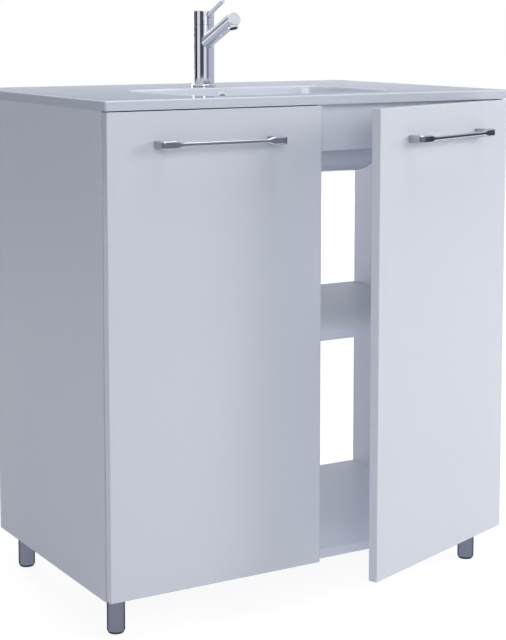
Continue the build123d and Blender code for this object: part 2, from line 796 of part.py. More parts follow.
with BuildPart() as sink_top:
    outer_depth = bowl_depth - top_thickness + bowl_wall
    shrink = top_thickness * tan(radians(bowl_taper))
    with BuildSketch(under_plane):
        outer_length = bowl_length + 2 * bowl_wall - 2 * shrink
        outer_width = bowl_width + 2 * bowl_wall - 2 * shrink
        RectangleRounded(outer_length, outer_width, bowl_corner + bowl_wall - shrink)
    extrude(amount=-outer_depth, taper=bowl_taper)
    fillet(sink_top.edges().group_by(Axis.Z)[0], bowl_floor_round + bowl_wall)
    with BuildSketch(Plane((0, bowl_middle_y, bowl_floor_z), x_dir=(1, 0, 0), z_dir=(0, 0, 1))):
        Circle(waste_boss_radius)
    extrude(amount=-(bowl_wall + boss_height))
    with BuildSketch(Plane.YZ):
        Polygon(*duct_outline(boss_height, carcass_top, bowl_middle_y), align=None)
    extrude(amount=duct_width / 2, both=True)
    with BuildSketch(Plane.XY.offset(carcass_top)):
        top_depth = carcass_depth + top_front_overhang + top_back_overhang
        with Locations((0, front_y - top_front_overhang + top_depth / 2)):
            RectangleRounded(cabinet_width, top_depth, top_corner)
    extrude(amount=top_thickness)
    fillet(sink_top.edges().group_by(Axis.Z)[-1], top_edge_round)
    add(bowl_inside.part, mode=Mode.SUBTRACT)
    rim = [
        e for e in sink_top.edges().filter_by_position(Axis.Z, top_z - fit_clearance, top_z + fit_clearance)
        if abs(e.center().X) <= bowl_length / 2 and abs(e.center().Y - bowl_middle_y) <= bowl_width / 2
    ]
    fillet(rim, bowl_rim_round)
    with BuildSketch(Plane.XY.offset(top_z)):
        with Locations((0, tap_y)):
            Circle(shank_radius + tap_hole_clearance)
    extrude(amount=-top_thickness, mode=Mode.SUBTRACT)
    with BuildSketch(Plane.XY.offset(bowl_floor_z)):
        with Locations((0, bowl_middle_y)):
            Circle(waste_hole_radius)
    extrude(amount=-(bowl_wall + boss_height), mode=Mode.SUBTRACT)
    # The duct's inside starts behind the overflow and ends in the waste hole.
    duct_high = top_z - overflow_drop + overflow_hole_radius + overflow_ring_thickness
    with BuildSketch(Plane.YZ):
        Polygon(*duct_outline(duct_gap, min(duct_high, carcass_top), bowl_middle_y), align=None)
    extrude(amount=duct_width / 2 - duct_wall, both=True, mode=Mode.SUBTRACT)
    with BuildSketch(overflow_plane.offset(bowl_wall)):
        Circle(overflow_hole_radius + overflow_ring_thickness + fit_clearance)
    extrude(amount=-(2 * bowl_wall + duct_gap / 2), mode=Mode.SUBTRACT)
write(sink_top.part, "sink_top")

with BuildPart() as overflow_ring:
    with BuildSketch(overflow_plane):
        Circle(overflow_ring_radius)
        Circle(overflow_hole_radius, mode=Mode.SUBTRACT)
    extrude(amount=overflow_ring_thickness)
    fillet(overflow_ring.edges().group_by(SortBy.LENGTH)[-1], overflow_ring_thickness / 3)
    with BuildSketch(overflow_plane):
        Circle(overflow_hole_radius + overflow_ring_thickness)
        Circle(overflow_hole_radius, mode=Mode.SUBTRACT)
    extrude(amount=-bowl_wall)
write(overflow_ring.part, "overflow_ring")


# --- Waste ---

waste_axis = Plane((0, bowl_middle_y, bowl_floor_z), x_dir=(1, 0, 0), z_dir=(0, 0, 1))
bowl_under = -(bowl_wall + boss_height)

with BuildPart() as waste_flange:
    with BuildSketch(waste_axis):
        Circle(waste_flange_radius)
        Circle(waste_bore_radius, mode=Mode.SUBTRACT)
    extrude(amount=waste_flange_thickness)
    chamfer(waste_flange.edges().group_by(Axis.Z)[-1], waste_flange_thickness / 3)
    with BuildSketch(waste_axis):
        Circle(waste_collar_radius)
        Circle(waste_bore_radius, mode=Mode.SUBTRACT)
    extrude(amount=bowl_under)
    # A slot through both sides of the collar lets the overflow in.
    slot_top = -(bowl_wall + (duct_gap - waste_slot_height) / 2)
    with BuildSketch(waste_axis.offset(slot_top)):
        Rectangle(waste_slot_width, 2 * waste_hole_radius)
    extrude(amount=-waste_slot_height, mode=Mode.SUBTRACT)
write(waste_flange.part, "waste_flange")

with BuildPart() as waste_body:
    with BuildSketch(waste_axis.offset(bowl_under)):
        Circle(waste_thread_radius)
        Circle(waste_bore_radius, mode=Mode.SUBTRACT)
    extrude(amount=-waste_thread_length)
    with BuildSketch(waste_axis.offset(bowl_under - waste_thread_length)):
        Circle(waste_tube_radius)
        Circle(waste_bore_radius, mode=Mode.SUBTRACT)
    extrude(amount=-(waste_length + bowl_under - waste_thread_length))
    # A bridge across the bore guides the plug's stem.
    bridge_z = -waste_bridge_drop
    with BuildSketch(waste_axis.offset(bridge_z)):
        Rectangle(waste_tube_radius + waste_bore_radius, waste_bridge_width)
        Circle(plug_stem_radius + fit_clearance, mode=Mode.SUBTRACT)
    extrude(amount=-waste_bridge_height)
write(waste_body.part, "waste_body")

with BuildPart() as waste_seal:
    with BuildSketch(waste_axis.offset(bowl_under)):
        Circle(waste_seal_radius)
        Circle(waste_thread_radius + fit_clearance, mode=Mode.SUBTRACT)
    extrude(amount=-waste_seal_height)
write(waste_seal.part, "waste_seal")

with BuildPart() as waste_nut:
    with BuildSketch(waste_axis.offset(bowl_under - waste_seal_height)):
        RegularPolygon(waste_nut_radius, 8)
        Circle(waste_thread_radius + fit_clearance, mode=Mode.SUBTRACT)
    extrude(amount=-waste_nut_height)
write(waste_nut.part, "waste_nut")

with BuildPart() as waste_plug:
    plug_seat = waste_flange_thickness + plug_gap
    with BuildSketch(waste_axis.offset(plug_seat)):
        Circle(plug_radius)
    extrude(amount=plug_thickness)
    fillet(waste_plug.edges().group_by(Axis.Z)[-1], plug_thickness / 2)
    with BuildSketch(waste_axis.offset(plug_seat)):
        Circle(plug_stem_radius)
    extrude(amount=-plug_stem_length)
write(waste_plug.part, "waste_plug")


# --- Tap ---

tap_axis = Plane((0, tap_y, top_z), x_dir=(1, 0, 0), z_dir=(0, 0, 1))
spout_line = Plane(
    (0, tap_y, top_z + spout_axis_height),
    x_dir=(1, 0, 0),
    z_dir=(0, -cos(radians(spout_rise_angle)), sin(radians(spout_rise_angle))),
)
spout_length = spout_reach / cos(radians(spout_rise_angle))
nozzle_axis = Plane(
    spout_line.origin + spout_line.z_dir * (spout_length - nozzle_offset),
    x_dir=(1, 0, 0),
    z_dir=(0, -sin(radians(spout_rise_angle)), -cos(radians(spout_rise_angle))),
)
body_inner_radius = tap_body_radius - tap_body_wall

with BuildPart() as tap_seal:
    with BuildSketch(tap_axis):
        Circle(tap_base_radius - tap_base_round)
        Circle(shank_radius + fit_clearance, mode=Mode.SUBTRACT)
    extrude(amount=tap_seal_height)
write(tap_seal.part, "tap_seal")

with BuildPart() as tap_base_ring:
    with BuildSketch(tap_axis.offset(tap_seal_height)):
        Circle(tap_base_radius)
        Circle(shank_radius + fit_clearance, mode=Mode.SUBTRACT)
    extrude(amount=tap_base_height - tap_seal_height)
    fillet(tap_base_ring.edges().group_by(Axis.Z)[-1].sort_by(SortBy.LENGTH)[-1], tap_base_round)
write(tap_base_ring.part, "tap_base_ring")

with BuildPart() as tap_body:
    with BuildSketch(tap_axis.offset(tap_base_height)):
        Circle(tap_body_radius)
    extrude(amount=tap_seam_height - tap_base_height)
    with BuildSketch(tap_axis.offset(tap_base_height + tap_body_wall)):
        Circle(body_inner_radius)
    extrude(amount=tap_seam_height, mode=Mode.SUBTRACT)
    with BuildSketch(spout_line):
        Circle(spout_radius)
    extrude(amount=spout_length, mode=Mode.SUBTRACT)
write(tap_body.part, "tap_body")

with BuildPart() as tap_spout:
    with BuildSketch(spout_line):
        Circle(spout_radius)
    extrude(amount=spout_length)
    fillet(tap_spout.edges().sort_by(Axis.Y)[0], tap_edge_round)
    with BuildSketch(nozzle_axis):
        Circle(nozzle_radius)
    extrude(amount=nozzle_drop)
    with BuildSketch(spout_line):
        Circle(spout_radius - spout_wall)
    extrude(amount=spout_length - spout_end_wall, mode=Mode.SUBTRACT)
    with BuildSketch(nozzle_axis):
        Circle(aerator_radius + fit_clearance)
    extrude(amount=nozzle_drop, mode=Mode.SUBTRACT)
    with BuildSketch(tap_axis):
        Circle(body_inner_radius)
    extrude(amount=tap_seam_height, mode=Mode.SUBTRACT)
write(tap_spout.part, "tap_spout")

with BuildPart() as tap_aerator:
    with BuildSketch(nozzle_axis.offset(nozzle_drop - aerator_recess)):
        Circle(aerator_radius)
    extrude(amount=-aerator_height)
    with BuildSketch(nozzle_axis.offset(nozzle_drop - aerator_recess)):
        with PolarLocations(aerator_radius / 2, 6):
            Circle(aerator_radius / 6)
    extrude(amount=-aerator_height / 3, mode=Mode.SUBTRACT)
write(tap_aerator.part, "tap_aerator")

with BuildPart() as tap_cartridge:
    with BuildSketch(tap_axis.offset(tap_seam_height)):
        Circle(body_inner_radius - fit_clearance)
    extrude(amount=-cartridge_depth)
    # The collar rests on the body's rim and centres the cap that turns on it.
    with BuildSketch(tap_axis.offset(tap_seam_height)):
        Circle(tap_body_radius - tap_cap_wall - fit_clearance)
    extrude(amount=cartridge_neck_height)
    with BuildSketch(tap_axis.offset(tap_seam_height + cartridge_neck_height)):
        Circle(cartridge_stem_radius)
    extrude(amount=cartridge_stem_height)
write(tap_cartridge.part, "tap_cartridge")

lever_pivot = (0, tap_y - lever_pivot_forward, top_z + lever_axis_height + lever_pivot_forward * lever_rise)
lever_line = Plane(
    lever_pivot,
    x_dir=(1, 0, 0),
    z_dir=(0, -cos(radians(lever_rise_angle)), sin(radians(lever_rise_angle))),
)
lever_length = (lever_reach - lever_pivot_forward) / cos(radians(lever_rise_angle))

with BuildPart() as tap_cap:
    with BuildSketch(tap_axis.offset(tap_seam_height + tap_seam)):
        Circle(tap_body_radius)
    extrude(amount=tap_cap_height - tap_seam)
    fillet(tap_cap.edges().group_by(Axis.Z)[-1], tap_edge_round)
    with BuildSketch(tap_axis.offset(tap_seam_height + tap_seam)):
        Circle(tap_body_radius - tap_cap_wall)
    extrude(amount=tap_cap_height - tap_seam - tap_cap_wall, mode=Mode.SUBTRACT)
    # The lever's slot: the lever's own outline at both ends of its lift, joined.
    slot_radius = lever_radius + lever_clearance
    for lift in (0, lever_lift / 2, lever_lift):
        raised = lever_line.rotated((-lift, 0, 0))
        with BuildSketch(raised):
            Circle(slot_radius)
        extrude(amount=tap_body_radius, mode=Mode.SUBTRACT)
        with BuildSketch(raised):
            Circle(slot_radius)
        extrude(amount=-lever_tail - lever_clearance, mode=Mode.SUBTRACT)
    with BuildSketch(Plane.YZ.offset(-lever_pin_length / 2 - fit_clearance)):
        with Locations((lever_pivot[1], lever_pivot[2])):
            Circle(lever_pin_radius + fit_clearance)
    extrude(amount=lever_pin_length + 2 * fit_clearance, mode=Mode.SUBTRACT)
write(tap_cap.part, "tap_cap")

with BuildPart() as tap_lever_pin:
    with BuildSketch(Plane.YZ.offset(-lever_pin_length / 2)):
        with Locations((lever_pivot[1], lever_pivot[2])):
            Circle(lever_pin_radius)
    extrude(amount=lever_pin_length)
write(tap_lever_pin.part, "tap_lever_pin")

with BuildPart() as tap_lever:
    with BuildSketch(lever_line.offset(-lever_tail)):
        Circle(lever_radius)
    extrude(amount=lever_length + lever_tail)
    fillet(tap_lever.edges().sort_by(Axis.Y)[0], tap_edge_round / 2)
    with BuildSketch(Plane.YZ.offset(-lever_pin_length / 2)):
        with Locations((lever_pivot[1], lever_pivot[2])):
            Circle(lever_pin_radius + fit_clearance)
    extrude(amount=lever_pin_length, mode=Mode.SUBTRACT)
write(tap_lever.part, "tap_lever")

with BuildPart() as tap_shank:
    with BuildSketch(tap_axis.offset(tap_base_height)):
        Circle(shank_radius)
        Circle(shank_bore_radius, mode=Mode.SUBTRACT)
    extrude(amount=-(tap_base_height + shank_length))
write(tap_shank.part, "tap_shank")

with BuildPart() as tap_washer:
    with BuildSketch(tap_axis.offset(-top_thickness)):
        Circle(tap_washer_radius)
        Circle(shank_radius + fit_clearance, mode=Mode.SUBTRACT)
    extrude(amount=-tap_washer_height)
write(tap_washer.part, "tap_washer")

with BuildPart() as tap_nut:
    with BuildSketch(tap_axis.offset(-top_thickness - tap_washer_height)):
        RegularPolygon(tap_nut_radius, 6)
        Circle(shank_radius + fit_clearance, mode=Mode.SUBTRACT)
    extrude(amount=-tap_nut_height)
write(tap_nut.part, "tap_nut")

print("carcass front", front_y, "hinge axis", axis_x, axis_y, "lever pivot", lever_pivot)
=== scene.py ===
import json
import math

import bmesh
import bpy
from bpy.props import FloatProperty, FloatVectorProperty, PointerProperty
from bpy.types import Operator, Panel, PropertyGroup
from mathutils import Matrix, Vector


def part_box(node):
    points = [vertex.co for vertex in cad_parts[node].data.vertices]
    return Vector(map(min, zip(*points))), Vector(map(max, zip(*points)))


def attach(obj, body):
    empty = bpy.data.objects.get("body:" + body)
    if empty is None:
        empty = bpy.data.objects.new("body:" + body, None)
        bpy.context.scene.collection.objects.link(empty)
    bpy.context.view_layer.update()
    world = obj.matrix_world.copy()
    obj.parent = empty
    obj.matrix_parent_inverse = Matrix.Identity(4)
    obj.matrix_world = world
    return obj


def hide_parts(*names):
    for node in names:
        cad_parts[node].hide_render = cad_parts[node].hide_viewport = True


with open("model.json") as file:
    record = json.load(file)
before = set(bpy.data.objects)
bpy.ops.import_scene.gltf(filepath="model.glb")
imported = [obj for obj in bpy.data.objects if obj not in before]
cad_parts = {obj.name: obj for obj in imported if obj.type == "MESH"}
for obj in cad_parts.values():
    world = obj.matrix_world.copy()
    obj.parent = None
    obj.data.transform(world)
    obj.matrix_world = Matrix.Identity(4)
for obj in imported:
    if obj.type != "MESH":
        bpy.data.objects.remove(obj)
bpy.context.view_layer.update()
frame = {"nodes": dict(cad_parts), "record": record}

bl_info = {
    "name": "Sink Base Cabinet",
    "version": (1, 0, 0),
    "blender": (4, 5, 0),
    "location": "View3D > Sidebar > Sink Cabinet",
    "description": "Dresses a sink base cabinet: coated boards, glazed sink top, chrome tap, hinges and legs",
    "category": "Object",
}

NODES = frame["nodes"]
MM = 0.001
SIDES = ("left", "right")
LEG_PLACES = ("front_left", "front_right", "rear_left", "rear_right")
SWINGS = {joint["name"]: joint for joint in frame["record"]["behaviour"]["joints"]}
# The right door is stored ajar, so its lower limit, closed, lies that far back.
DOOR_TURNS = {"left": 0.0, "right": -math.radians(SWINGS["right_door_swing"]["range_deg"][0])}


def linear(code):
    """Turns an sRGB hex value into linear red, green and blue."""
    parts = [int(code[i:i + 2], 16) / 255 for i in (1, 3, 5)]
    return tuple(p / 12.92 if p <= 0.04045 else ((p + 0.055) / 1.055) ** 2.4 for p in parts)


def rgba(colour):
    """The same colour, opaque."""
    return (colour[0], colour[1], colour[2], 1.0)


# --- Sizes and colours a user would change ---

class SINKCAB_PG_boards(PropertyGroup):
    carcass_white: FloatVectorProperty(
        name="Carcass White", description="Colour of the coated boards", subtype="COLOR",
        size=3, min=0.0, max=1.0, default=linear("#DADDE6"))
    door_white: FloatVectorProperty(
        name="Door White", description="Colour of the doors' coating", subtype="COLOR",
        size=3, min=0.0, max=1.0, default=linear("#DCDFE6"))
    band_width: FloatProperty(
        name="Edge Band", description="Thickness of the band glued round each board",
        unit="LENGTH", default=1.0 * MM)
    grain_size: FloatProperty(
        name="Coating Grain", description="Width of one grain of the coating's fine texture",
        unit="LENGTH", default=1.4 * MM)


class SINKCAB_PG_metals(PropertyGroup):
    chrome: FloatVectorProperty(
        name="Chrome", description="Reflection colour of the chrome plate", subtype="COLOR",
        size=3, min=0.0, max=1.0, default=linear("#DADCE2"))
    satin: FloatVectorProperty(
        name="Satin Chrome", description="Reflection colour of the handles", subtype="COLOR",
        size=3, min=0.0, max=1.0, default=linear("#B4B7C1"))
    leg: FloatVectorProperty(
        name="Leg Metal", description="Reflection colour of the leg tubes", subtype="COLOR",
        size=3, min=0.0, max=1.0, default=linear("#757A8A"))
    recess_depth: FloatProperty(
        name="Recess Depth", description="Depth of the cross recess in a screw's head",
        unit="LENGTH", default=0.9 * MM)


class SINKCAB_PG_top(PropertyGroup):
    glaze: FloatVectorProperty(
        name="Glaze", description="Colour of the sink top's glaze", subtype="COLOR",
        size=3, min=0.0, max=1.0, default=linear("#D5DAE3"))
    wave_size: FloatProperty(
        name="Glaze Wave", description="Width of the slow waves in the fired glaze",
        unit="LENGTH", default=38 * MM)


class SINKCAB_PG_stage(PropertyGroup):
    focal_length: FloatProperty(
        name="Focal Length", description="Focal length in millimetres on a 36 mm sensor",
        unit="CAMERA", default=90.3, min=10.0)
    view_shift: FloatProperty(
        name="View Shift", description="Shift of the view as part of its longer side, downward if negative",
        default=-0.2)
    camera_place: FloatVectorProperty(
        name="Camera Place", description="Where the camera stands", subtype="TRANSLATION",
        size=3, default=(-1.4666, -2.4596, 1.0013))
    camera_yaw: FloatProperty(
        name="Camera Yaw", description="Turn of the view from straight ahead", subtype="ANGLE",
        default=math.radians(30.627))
    camera_pitch: FloatProperty(
        name="Camera Pitch", description="How far the view looks down", subtype="ANGLE",
        default=math.radians(6.133))
    ambient: FloatProperty(
        name="Ambient", description="Strength of the soft light from all round", default=0.3)


# --- Shader building ---

# Colour inputs and result of a Mix node, whose names its other kinds of value share.
MIX_FIRST = 6
MIX_SECOND = 7
MIX_RESULT = 2
# All that a noise pattern can give, and the middle of it, where most of it lies.
WHOLE = (0.0, 1.0)
MIDDLE = (0.3, 0.7)
# Refraction of melamine resin, of clear glaze, of moulded polymers and of planed wood.
RESIN_IOR = 1.5
GLAZE_IOR = 1.53
POLYMER_IOR = 1.49
WOOD_IOR = 1.5
# Coated board: how rough the carcass and the doors are, the faint clouding, and what that does to tone
# and gloss.
CARCASS_ROUGHNESS = 0.40
DOOR_ROUGHNESS = 0.30
CLOUD_WIDTH = 190 * MM
CLOUD_TONES = (0.975, 1.015)
CLOUD_GLOSS = (-0.04, 0.06)
# The glue line is drawn 0.3 mm wide, coarser than the real one, so that a close view shows it.
HALF_GLUE_LINE = 0.15 * MM
GLUE_SHADE = -0.22
GLUE_SINK = -3.0
BAND_GLOSS = -0.08
# Glaze: the speckle of its body, and how its gloss follows the waves.
SPECK_WIDTH = 2.2 * MM
SPECK_TONES = (0.985, 1.01)
WAVE_GLOSS = (0.05, 0.12)
# Metals: how wide a wipe of the polishing cloth is, and what grit lines do to gloss and tone.
WIPE_WIDTH = 14 * MM
LINE_GLOSS = (-0.06, 0.08)
LINE_TONES = (0.94, 1.04)
# Mouldings: what the mould's spark texture does to gloss and tone.
SPARK_GLOSS = (-0.05, 0.07)
SPARK_TONES = (0.93, 1.06)
# Beech: width of a pore, and how far the pattern is drawn out along the grain.
PORE_WIDTH = 1.1 * MM
PORE_DRAW = (0.12, 1.0, 1.0)


def add(tree, kind, feeds=None, **settings):
    """Adds one node: settings are its attributes, feeds its inputs' values or the sockets linked to them."""
    node = tree.nodes.new(kind)
    for key, value in settings.items():
        setattr(node, key, value)
    for key, value in (feeds or {}).items():
        if isinstance(value, bpy.types.NodeSocket):
            tree.links.new(value, node.inputs[key])
        else:
            node.inputs[key].default_value = value
    return node


def span(taken, given=WHOLE):
    """What a Map Range node needs to turn one range of values into another."""
    return {"From Min": taken[0], "From Max": taken[1], "To Min": given[0], "To Max": given[1]}


def shifted(level, shifts):
    """A range that lies by its two shifts from a level."""
    return [level + shift for shift in shifts]


def blank(name):
    """An empty node material."""
    material = bpy.data.materials.new(name)
    material.use_nodes = True
    material.node_tree.nodes.clear()
    return material, material.node_tree


def coated_board(name, colour, roughness, box, turn=0.0):
    """Melamine-faced chipboard, pressed against a fine steel plate: an even white with a faint pearl
    grain, a slightly glossier glued edge band and the hairline seam where band and face meet."""
    boards = bpy.context.scene.sink_boards
    low, high = box
    centre = [(a + b) / 2 for a, b in zip(low, high)]
    half = [(b - a) / 2 for a, b in zip(low, high)]
    flat = half.index(min(half))
    across = [i for i in range(3) if i != flat]
    material, tree = blank(name)
    place = add(tree, "ShaderNodeTexCoord")
    local = add(tree, "ShaderNodeMapping", {
        "Vector": place.outputs["Object"], "Location": centre, "Rotation": (0.0, 0.0, turn),
    }, vector_type="TEXTURE")
    parts = add(tree, "ShaderNodeSeparateXYZ", {0: local.outputs[0]})
    bands = []
    seams = []
    for i in across:
        away = add(tree, "ShaderNodeMath", {0: parts.outputs[i]}, operation="ABSOLUTE")
        past = add(tree, "ShaderNodeMath", {
            0: away.outputs[0], 1: half[i] - boards.band_width,
        }, operation="SUBTRACT")
        bands.append(add(tree, "ShaderNodeMath", {0: past.outputs[0], 1: 0.0}, operation="GREATER_THAN"))
        near = add(tree, "ShaderNodeMath", {0: past.outputs[0]}, operation="ABSOLUTE")
        seams.append(add(tree, "ShaderNodeMath", {
            0: near.outputs[0], 1: HALF_GLUE_LINE,
        }, operation="LESS_THAN"))
    band = add(tree, "ShaderNodeMath", {0: bands[0].outputs[0], 1: bands[1].outputs[0]}, operation="MAXIMUM")
    seam = add(tree, "ShaderNodeMath", {0: seams[0].outputs[0], 1: seams[1].outputs[0]}, operation="MAXIMUM")
    # Grain of the pressed coating, and the faint clouding of handled white board.
    grain = add(tree, "ShaderNodeTexNoise", {
        "Vector": local.outputs[0], "Scale": 1 / boards.grain_size, "Detail": 3.0,
    })
    cloud = add(tree, "ShaderNodeTexNoise", {
        "Vector": local.outputs[0], "Scale": 1 / CLOUD_WIDTH, "Detail": 2.0,
    })
    tone = add(tree, "ShaderNodeMapRange", {"Value": cloud.outputs[0], **span(WHOLE, CLOUD_TONES)})
    darker = add(tree, "ShaderNodeMath", {
        0: seam.outputs[0], 1: GLUE_SHADE, 2: 1.0,
    }, operation="MULTIPLY_ADD")
    shade = add(tree, "ShaderNodeMath", {0: tone.outputs[0], 1: darker.outputs[0]}, operation="MULTIPLY")
    paint = add(tree, "ShaderNodeVectorMath", {0: colour, "Scale": shade.outputs[0]}, operation="SCALE")
    clouded = add(tree, "ShaderNodeMapRange", {
        "Value": cloud.outputs[0], **span(WHOLE, shifted(roughness, CLOUD_GLOSS)),
    })
    gloss = add(tree, "ShaderNodeMath", {
        0: band.outputs[0], 1: BAND_GLOSS, 2: clouded.outputs[0],
    }, operation="MULTIPLY_ADD")
    relief = add(tree, "ShaderNodeMath", {
        0: seam.outputs[0], 1: GLUE_SINK, 2: grain.outputs[0],
    }, operation="MULTIPLY_ADD")
    bump = add(tree, "ShaderNodeBump", {"Strength": 0.12, "Distance": 0.03 * MM, "Height": relief.outputs[0]})
    shader = add(tree, "ShaderNodeBsdfPrincipled", {
        "Base Color": paint.outputs[0], "Roughness": gloss.outputs[0], "IOR": RESIN_IOR,
        "Normal": bump.outputs[0],
    })
    add(tree, "ShaderNodeOutputMaterial", {"Surface": shader.outputs[0]})
    return material


def glazed_ceramic(name):
    """Fired fireclay under a clear-white glaze: glassy, with slow waves that bend its reflections and
    a very faint speckle in the body."""
    top = bpy.context.scene.sink_top_look
    material, tree = blank(name)
    place = add(tree, "ShaderNodeTexCoord")
    wave = add(tree, "ShaderNodeTexNoise", {
        "Vector": place.outputs["Object"], "Scale": 1 / top.wave_size, "Detail": 2.5, "Roughness": 0.45,
    })
    speck = add(tree, "ShaderNodeTexNoise", {
        "Vector": place.outputs["Object"], "Scale": 1 / SPECK_WIDTH, "Detail": 1.0,
    })
    tone = add(tree, "ShaderNodeMapRange", {"Value": speck.outputs[0], **span(MIDDLE, SPECK_TONES)})
    paint = add(tree, "ShaderNodeVectorMath", {
        0: tuple(top.glaze), "Scale": tone.outputs[0],
    }, operation="SCALE")
    haze = add(tree, "ShaderNodeMapRange", {"Value": wave.outputs[0], **span(WHOLE, WAVE_GLOSS)})
    bump = add(tree, "ShaderNodeBump", {"Strength": 0.5, "Distance": 0.6 * MM, "Height": wave.outputs[0]})
    shader = add(tree, "ShaderNodeBsdfPrincipled", {
        "Base Color": paint.outputs[0], "Roughness": haze.outputs[0], "IOR": GLAZE_IOR,
        "Normal": bump.outputs[0], "Coat Weight": 0.35, "Coat Roughness": 0.04,
    })
    add(tree, "ShaderNodeOutputMaterial", {"Surface": shader.outputs[0]})
    return material


def plated_metal(name, colour, roughness, smear, mark_size, mark_depth):
    """Bright plate on a polished or tumbled metal: smear is how much the gloss varies, and marks are
    the faint pits and wipes left by polishing."""
    material, tree = blank(name)
    place = add(tree, "ShaderNodeTexCoord")
    wipe = add(tree, "ShaderNodeTexNoise", {
        "Vector": place.outputs["Object"], "Scale": 1 / WIPE_WIDTH, "Detail": 3.0,
    })
    marks = add(tree, "ShaderNodeTexNoise", {
        "Vector": place.outputs["Object"], "Scale": 1 / mark_size, "Detail": 2.0,
    })
    gloss = add(tree, "ShaderNodeMapRange", {
        "Value": wipe.outputs[0], **span(MIDDLE, (roughness, roughness + smear)),
    })
    bump = add(tree, "ShaderNodeBump", {"Strength": 0.15, "Distance": mark_depth, "Height": marks.outputs[0]})
    shader = add(tree, "ShaderNodeBsdfPrincipled", {
        "Base Color": rgba(colour), "Metallic": 1.0, "Roughness": gloss.outputs[0],
        "Normal": bump.outputs[0],
    })
    add(tree, "ShaderNodeOutputMaterial", {"Surface": shader.outputs[0]})
    return material


def brushed_metal(name, colour, roughness, stretch, line_size, edge_shade="#FFFFFF"):
    """Satin metal drawn through fine grit: hairlines along the directions that stretch shortens, and the
    edge tint, given last, the colour its plate turns to where it is seen edge-on: a dark one is painted shade
    along the outline."""
    material, tree = blank(name)
    place = add(tree, "ShaderNodeTexCoord")
    lines_at = add(tree, "ShaderNodeMapping", {"Vector": place.outputs["Object"], "Scale": stretch})
    # Real grit lines are under 0.1 mm. They are drawn wider so that they show as a soft streaking.
    lines = add(tree, "ShaderNodeTexNoise", {
        "Vector": lines_at.outputs[0], "Scale": 1 / line_size, "Detail": 3.0,
    })
    gloss = add(tree, "ShaderNodeMapRange", {
        "Value": lines.outputs[0], **span(MIDDLE, shifted(roughness, LINE_GLOSS)),
    })
    tone = add(tree, "ShaderNodeMapRange", {"Value": lines.outputs[0], **span(WHOLE, LINE_TONES)})
    paint = add(tree, "ShaderNodeVectorMath", {0: tuple(colour), "Scale": tone.outputs[0]}, operation="SCALE")
    bump = add(tree, "ShaderNodeBump", {"Strength": 0.2, "Distance": 0.02 * MM, "Height": lines.outputs[0]})
    # The Specular Tint is the edge tint: a dark one paints shade where the plate is seen edge-on.
    shader = add(tree, "ShaderNodeBsdfPrincipled", {
        "Base Color": paint.outputs[0], "Metallic": 1.0, "Roughness": gloss.outputs[0],
        "Normal": bump.outputs[0], "Specular Tint": rgba(linear(edge_shade)),
    })
    add(tree, "ShaderNodeOutputMaterial", {"Surface": shader.outputs[0]})
    return material


def moulded_plastic(name, colour, roughness, grain=0.7 * MM, depth=0.03 * MM, clear=0.0):
    """Injection-moulded or cast polymer with the fine spark texture of its mould."""
    material, tree = blank(name)
    place = add(tree, "ShaderNodeTexCoord")
    spark = add(tree, "ShaderNodeTexNoise", {
        "Vector": place.outputs["Object"], "Scale": 1 / grain, "Detail": 2.0,
    })
    tone = add(tree, "ShaderNodeMapRange", {"Value": spark.outputs[0], **span(WHOLE, SPARK_TONES)})
    paint = add(tree, "ShaderNodeVectorMath", {0: tuple(colour), "Scale": tone.outputs[0]}, operation="SCALE")
    gloss = add(tree, "ShaderNodeMapRange", {
        "Value": spark.outputs[0], **span(WHOLE, shifted(roughness, SPARK_GLOSS)),
    })
    bump = add(tree, "ShaderNodeBump", {"Strength": 0.3, "Distance": depth, "Height": spark.outputs[0]})
    shader = add(tree, "ShaderNodeBsdfPrincipled", {
        "Base Color": paint.outputs[0], "Roughness": gloss.outputs[0], "IOR": POLYMER_IOR,
        "Normal": bump.outputs[0], "Transmission Weight": clear,
    })
    add(tree, "ShaderNodeOutputMaterial", {"Surface": shader.outputs[0]})
    return material


def planed_wood(name, pore, wood):
    """Fluted beech dowel: short brown pores along the grain on a pale pinkish wood."""
    material, tree = blank(name)
    place = add(tree, "ShaderNodeTexCoord")
    along = add(tree, "ShaderNodeMapping", {"Vector": place.outputs["Object"], "Scale": PORE_DRAW})
    grain = add(tree, "ShaderNodeTexNoise", {
        "Vector": along.outputs[0], "Scale": 1 / PORE_WIDTH, "Detail": 4.0,
    })
    tint = add(tree, "ShaderNodeMix", {
        "Factor": grain.outputs[0], MIX_FIRST: rgba(pore), MIX_SECOND: rgba(wood),
    }, data_type="RGBA")
    bump = add(tree, "ShaderNodeBump", {"Strength": 0.3, "Distance": 0.05 * MM, "Height": grain.outputs[0]})
    shader = add(tree, "ShaderNodeBsdfPrincipled", {
        "Base Color": tint.outputs[MIX_RESULT], "Roughness": 0.62, "IOR": WOOD_IOR,
        "Normal": bump.outputs[0],
    })
    add(tree, "ShaderNodeOutputMaterial", {"Surface": shader.outputs[0]})
    return material


FINISHES = {}


